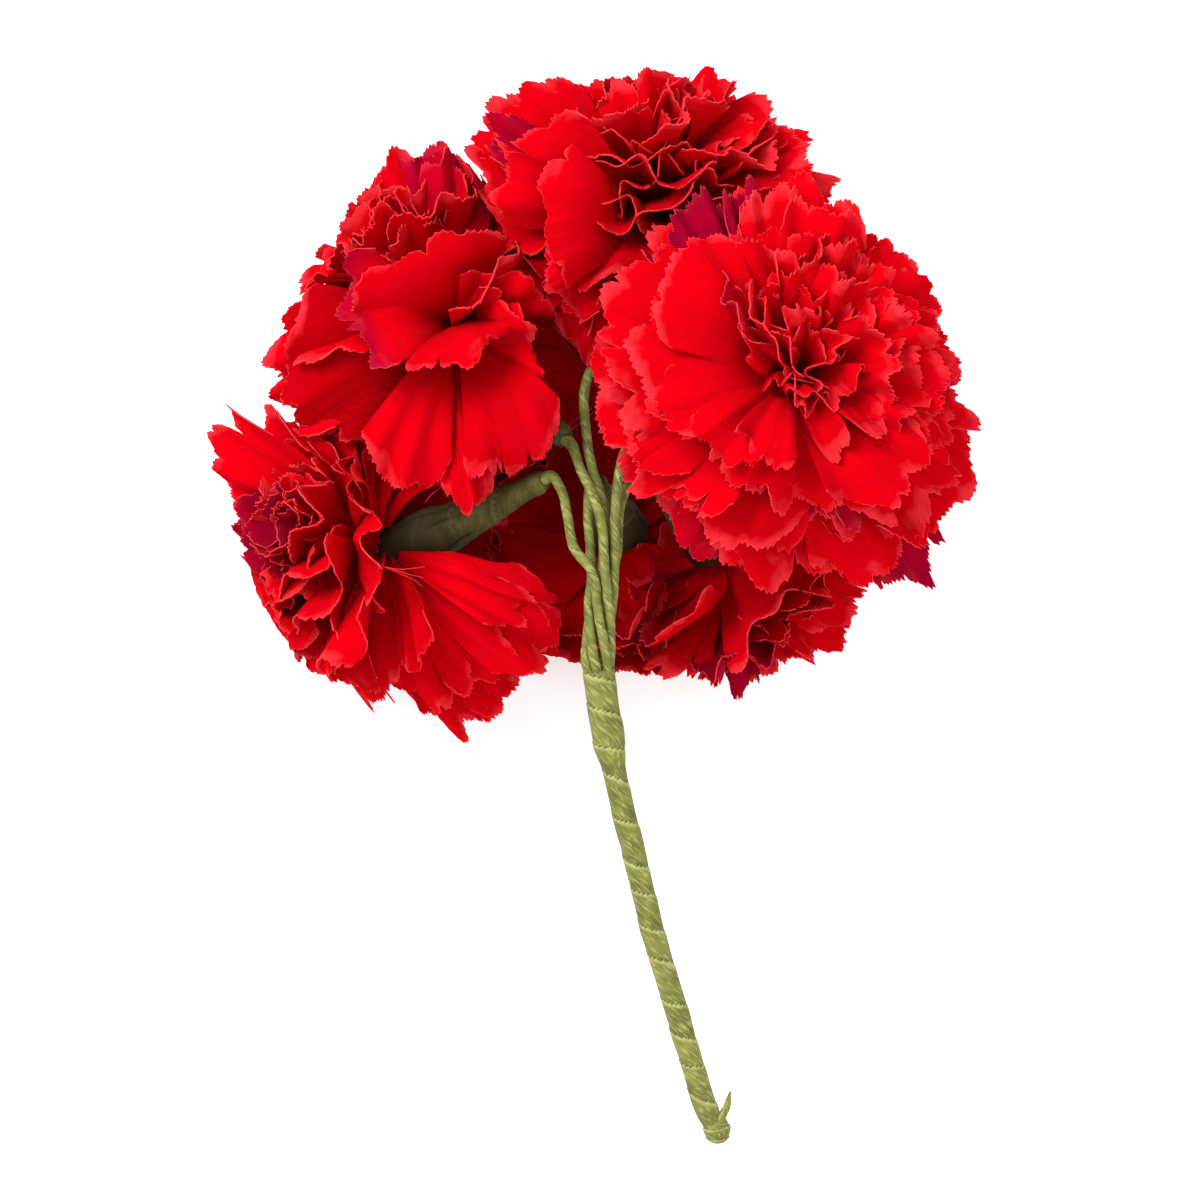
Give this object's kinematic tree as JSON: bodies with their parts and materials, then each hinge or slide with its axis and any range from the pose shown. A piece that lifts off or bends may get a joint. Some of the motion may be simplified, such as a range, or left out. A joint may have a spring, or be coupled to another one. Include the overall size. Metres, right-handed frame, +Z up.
{
  "type": "bunch of artificial carnations",
  "caption": "Bunch of red fabric carnation heads with pinked, ruffled petals on green-taped wires that twist into one taped stem, lying on its side.",
  "frame": {"origin": "on the table under the middle of the bunch's bounding box", "axes": "+Z up from the table, the stem runs towards -Y and the heads lie towards +Y, +X to the right of the stem seen from above"},
  "size_m": [0.1543, 0.218, 0.0939],
  "materials": {
    "petal_fabric": "woven polyester cloth, pinked and slightly frayed at the edges",
    "calyx_tape": "dark green crepe paper over a tapered calyx",
    "floral_tape": "waxed green crepe paper tape, wound in a spiral",
    "wire_steel": "bundled florist's wire, hidden in the tape"
  },
  "bodies": {
    "root": {"bloom_right": "petal_fabric", "bloom_top": "petal_fabric", "bloom_upper_left": "petal_fabric", "bloom_lower_left": "petal_fabric", "bloom_lower_centre": "petal_fabric", "bloom_lower_right": "petal_fabric", "calyx_right": "calyx_tape", "calyx_top": "calyx_tape", "calyx_upper_left": "calyx_tape", "calyx_lower_left": "calyx_tape", "calyx_lower_centre": "calyx_tape", "calyx_lower_right": "calyx_tape", "wire_right": "floral_tape", "wire_top": "floral_tape", "wire_upper_left": "floral_tape", "wire_lower_left": "floral_tape", "wire_lower_centre": "floral_tape", "wire_lower_right": "floral_tape", "stem_core": "wire_steel", "stem_tape": "floral_tape", "stem_knob": "floral_tape"}
  },
  "joints": []
}
